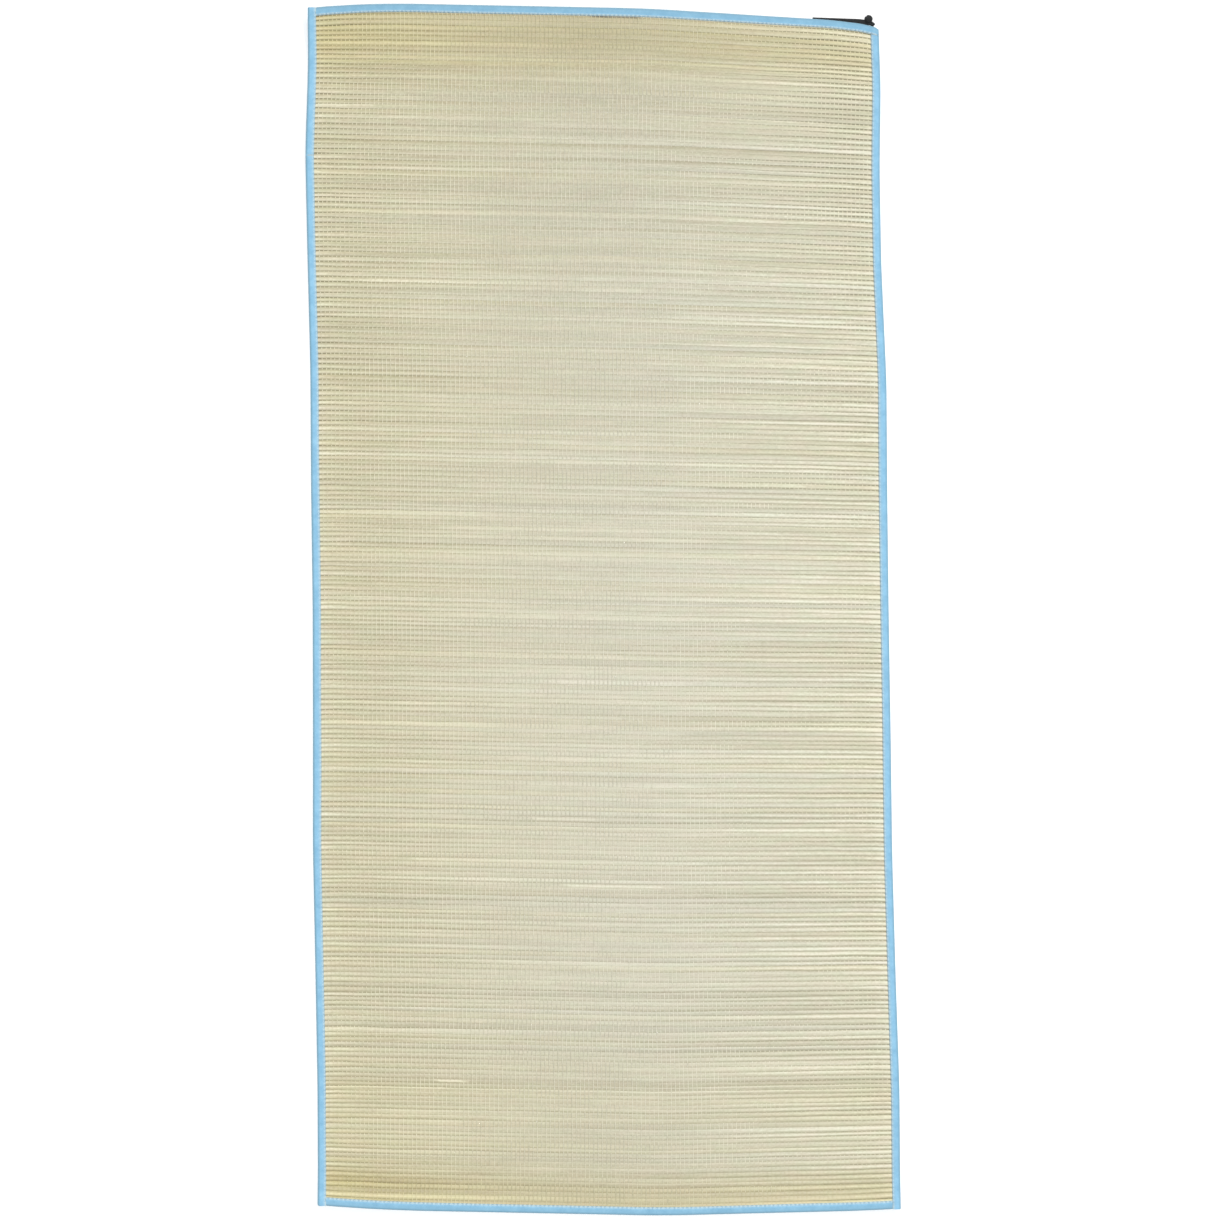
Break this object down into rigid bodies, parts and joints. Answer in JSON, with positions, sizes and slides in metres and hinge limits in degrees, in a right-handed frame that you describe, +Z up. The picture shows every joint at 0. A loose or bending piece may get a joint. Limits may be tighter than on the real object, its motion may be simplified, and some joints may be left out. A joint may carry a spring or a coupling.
{
  "type": "straw beach mat",
  "caption": "Unrolled woven straw beach mat, ribbed across its width, with a folded cloth tape sewn over each edge, curled ends and a knotted elastic tie under one corner.",
  "frame": {"origin": "on the floor under the middle of the mat's bounding box", "axes": "+Y lengthwise to the end that has the tie, +X to that end's tied corner, +Z up from the floor"},
  "size_m": [0.8688, 1.8088, 0.0188],
  "materials": {
    "straw": "natural dried straw, woven in ribs over a thin cotton warp, with a soft silky sheen",
    "tape": "light blue woven tape with a fine cross rib, matt",
    "elastic": "black braided elastic, matt"
  },
  "bodies": {
    "root": {"straw_panel": "straw", "left_binding": "tape", "right_binding": "tape", "front_binding": "tape", "back_binding": "tape", "elastic_tie": "elastic"}
  },
  "joints": []
}
